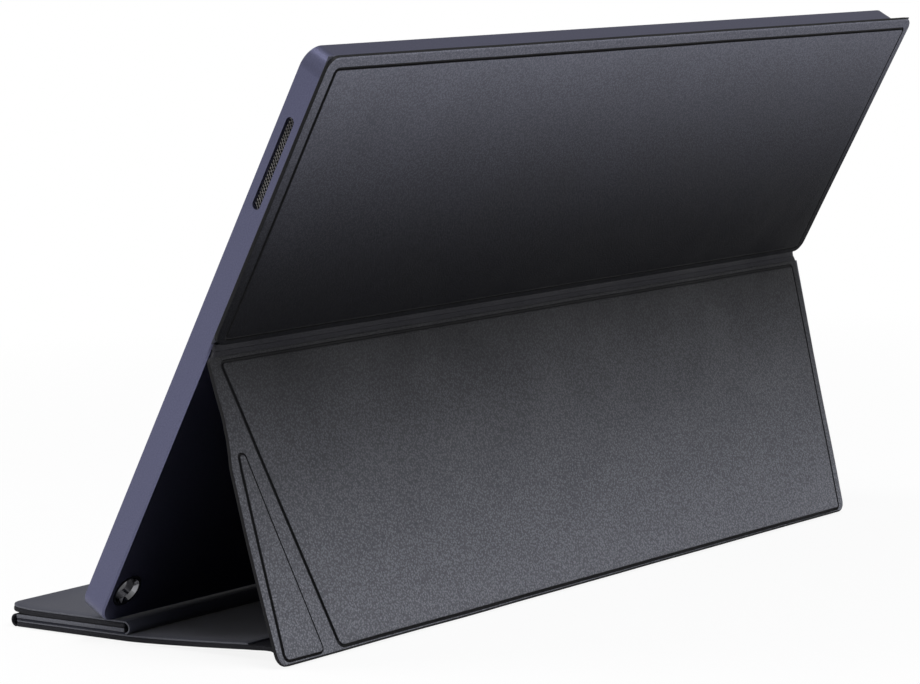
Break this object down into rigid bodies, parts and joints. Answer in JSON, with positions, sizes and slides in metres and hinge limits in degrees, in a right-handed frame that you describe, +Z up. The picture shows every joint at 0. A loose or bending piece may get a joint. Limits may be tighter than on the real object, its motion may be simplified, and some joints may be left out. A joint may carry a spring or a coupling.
{
  "type": "portable monitor with cover",
  "caption": "Thin portable monitor held leaning by its own folding leather cover, with a hinged rear leg, a zigzag mat, side buttons, ports and a corner pen hole.",
  "frame": {"origin": "on the desk plane, under the middle of the monitor's lower rear edge, on the underside of the folded mat", "axes": "+X along the width, so that it is the picture's left in the picture, which shows the rear; +Y towards the rear, where the leg stands; +Z up"},
  "size_m": [0.363, 0.1711, 0.2077],
  "materials": {
    "housing": "fine bead-blasted and anodised, satin blue-grey",
    "cover_glass": "polished, black border",
    "picture_panel": "dark, switched off",
    "light_guide": "milky",
    "steel_tray": "bare sheet",
    "circuit_board": "solder mask",
    "flat_cable": "amber film",
    "black_plastic": "fine matt",
    "chrome_ring": "polished",
    "woven_mesh": "fine woven mesh",
    "port_steel": "satin",
    "light_pipe": "milky, unlit",
    "leather": "fine pebble grain, satin, dark charcoal",
    "stiff_board": "pressed fibreboard",
    "lining": "brushed microfibre, grey-blue",
    "magnet": "nickel plated"
  },
  "bodies": {
    "mat": {"mat_leather": "leather", "mat_board": "stiff_board", "mat_lining": "lining", "spine_strip": "leather", "front_fold": "leather"},
    "foot": {"foot_fold": "leather"},
    "leg": {"leg_leather": "leather", "leg_board": "stiff_board", "corner_board": "stiff_board", "leg_lining": "lining"},
    "fold": {"upper_fold": "leather"},
    "screen": {"rear_housing": "housing", "front_glass": "cover_glass", "lcd_panel": "picture_panel", "light_guide": "light_guide", "back_tray": "steel_tray", "display_strip": "circuit_board", "main_board": "circuit_board", "port_board": "circuit_board", "button_board": "circuit_board", "display_cable": "flat_cable", "button_cable": "flat_cable", "bezel_frame": "black_plastic", "pen_ring": "chrome_ring", "speaker_left": "black_plastic", "speaker_right": "black_plastic", "speaker_mesh_left": "woven_mesh", "speaker_mesh_right": "woven_mesh", "usb_port_upper": "port_steel", "usb_port_lower": "port_steel", "video_port": "port_steel", "audio_jack": "black_plastic", "status_light": "light_pipe", "cover_leather": "leather", "cover_board": "stiff_board", "cover_lining": "lining", "cover_magnets": "magnet"},
    "middle": {"middle_leather": "leather", "middle_board": "stiff_board", "middle_lining": "lining", "rear_fold": "lining"},
    "flap": {"flap_leather": "leather", "flap_board": "stiff_board", "flap_lining": "lining"},
    "power": {"power_button": "housing"},
    "plus": {"plus_key": "housing"},
    "minus": {"minus_key": "housing"}
  },
  "joints": [
    {"name": "spine_crease", "type": "hinge", "parent": "mat", "child": "foot", "pos_m": [0, 0.0832, 0.0007], "axis": [-1, 0, 0], "range_deg": [0, 100]},
    {"name": "foot_crease", "type": "hinge", "parent": "foot", "child": "leg", "pos_m": [0, 0.0826, 0.0025], "axis": [1, 0, 0], "range_deg": [0, 19.3]},
    {"name": "leg_crease", "type": "hinge", "parent": "leg", "child": "fold", "pos_m": [0, 0.06075, 0.10504], "axis": [-1, 0, 0], "range_deg": [0, 30]},
    {"name": "cover_crease", "type": "hinge", "parent": "fold", "child": "screen", "pos_m": [0, 0.0602, 0.10759], "axis": [1, 0, 0], "range_deg": [0, 41.1]},
    {"name": "front_fold_turn", "type": "hinge", "parent": "mat", "child": "middle", "pos_m": [0, -0.05, 0.0024], "axis": [1, 0, 0], "range_deg": [0, 100.1], "deforming": ["front_fold"]},
    {"name": "rear_fold_turn", "type": "hinge", "parent": "middle", "child": "flap", "pos_m": [0, 0.0045, 0.0048], "axis": [-1, 0, 0], "range_deg": [0, 100.1], "deforming": ["rear_fold"]},
    {"name": "power_press", "type": "slide", "parent": "screen", "child": "power", "axis": [1, 0, 0], "range_m": [0, 0.0004], "stiffness_N_per_m": 1500, "springref_m": -0.0004},
    {"name": "plus_press", "type": "slide", "parent": "screen", "child": "plus", "axis": [1, 0, 0], "range_m": [0, 0.0004], "stiffness_N_per_m": 1500, "springref_m": -0.0004},
    {"name": "minus_press", "type": "slide", "parent": "screen", "child": "minus", "axis": [1, 0, 0], "range_m": [0, 0.0004], "stiffness_N_per_m": 1500, "springref_m": -0.0004}
  ],
  "couplings": [
    {"joint": "cover_crease", "follows": "spine_crease", "ratio": 0.41},
    {"joint": "front_fold_turn", "follows": "spine_crease", "ratio": 1},
    {"joint": "rear_fold_turn", "follows": "spine_crease", "ratio": 1},
    {"joint": "foot_crease", "follows": "leg_crease", "ratio": 0.64}
  ]
}
